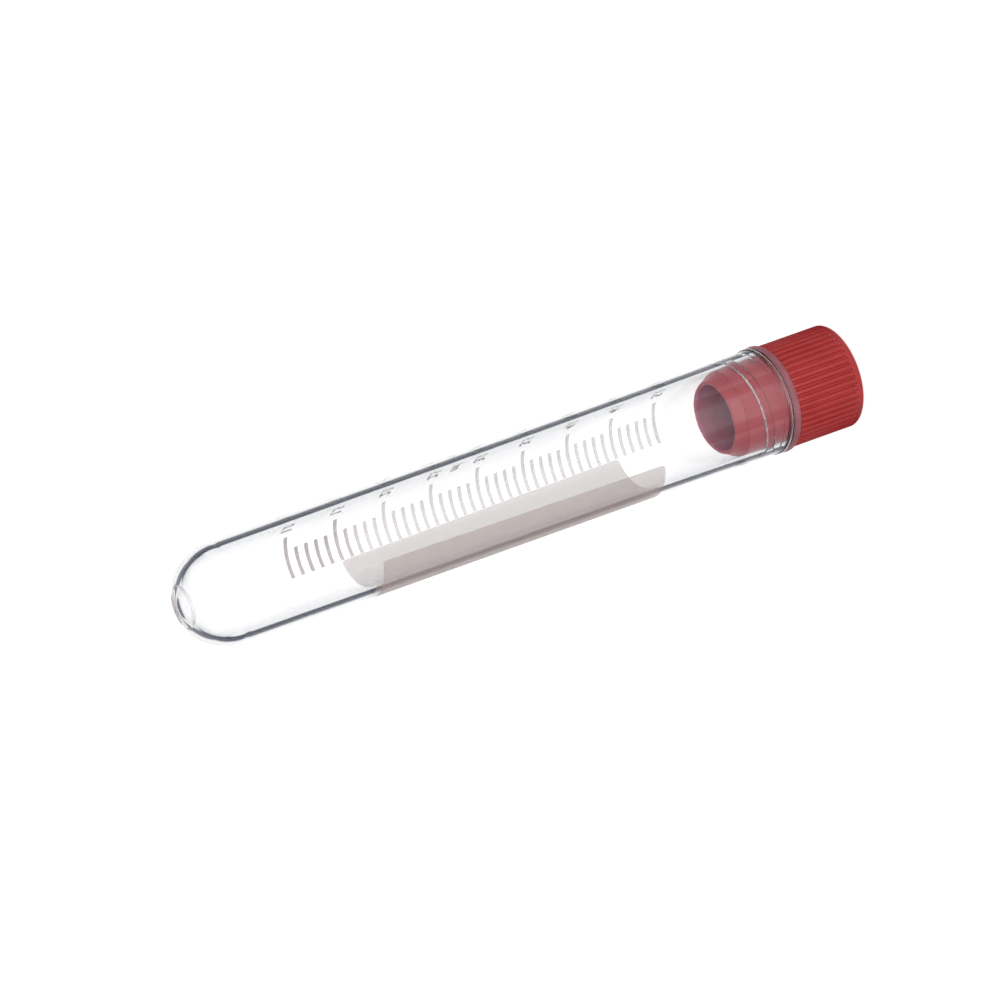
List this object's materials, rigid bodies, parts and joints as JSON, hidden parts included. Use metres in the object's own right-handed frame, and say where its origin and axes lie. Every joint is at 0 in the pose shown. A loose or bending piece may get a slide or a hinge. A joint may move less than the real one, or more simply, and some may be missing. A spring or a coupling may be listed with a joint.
{
  "type": "cryovial",
  "caption": "Clear round-bottomed cryogenic sample tube with a printed scale and writing area, closed by a ribbed screw cap on an internal thread.",
  "frame": {"origin": "centre of the cap's flat top, on which the vial stands head down", "axes": "+Z along the tube's axis from the cap to the round bottom, -Y towards the clear side between the two edges of the print, +X towards the clear side past the scale"},
  "size_m": [0.0128, 0.0128, 0.0878],
  "materials": {
    "clear_plastic": "clear polypropylene, polished mould",
    "red_plastic": "satin moulded polypropylene",
    "silicone": "translucent silicone",
    "white_ink": "see-through screen-printed writing coat, matt",
    "grey_ink": "matt screen-printed ink"
  },
  "bodies": {
    "cap": {"cap": "red_plastic"},
    "seal": {"gasket": "silicone"},
    "vial": {"tube": "clear_plastic", "writing_area": "white_ink", "graduation_marks": "grey_ink"}
  },
  "joints": [
    {"name": "unscrew_turn", "type": "hinge", "parent": "cap", "child": "seal", "pos_m": [0, 0, 0.0089], "axis": [0, 0, 1], "range_deg": [0, 960]},
    {"name": "unscrew_lift", "type": "slide", "parent": "seal", "child": "vial", "axis": [0, 0, 1], "range_m": [0, 0.008]}
  ],
  "couplings": [
    {"joint": "unscrew_lift", "follows": "unscrew_turn", "m_per_rad": 0.00047746}
  ]
}
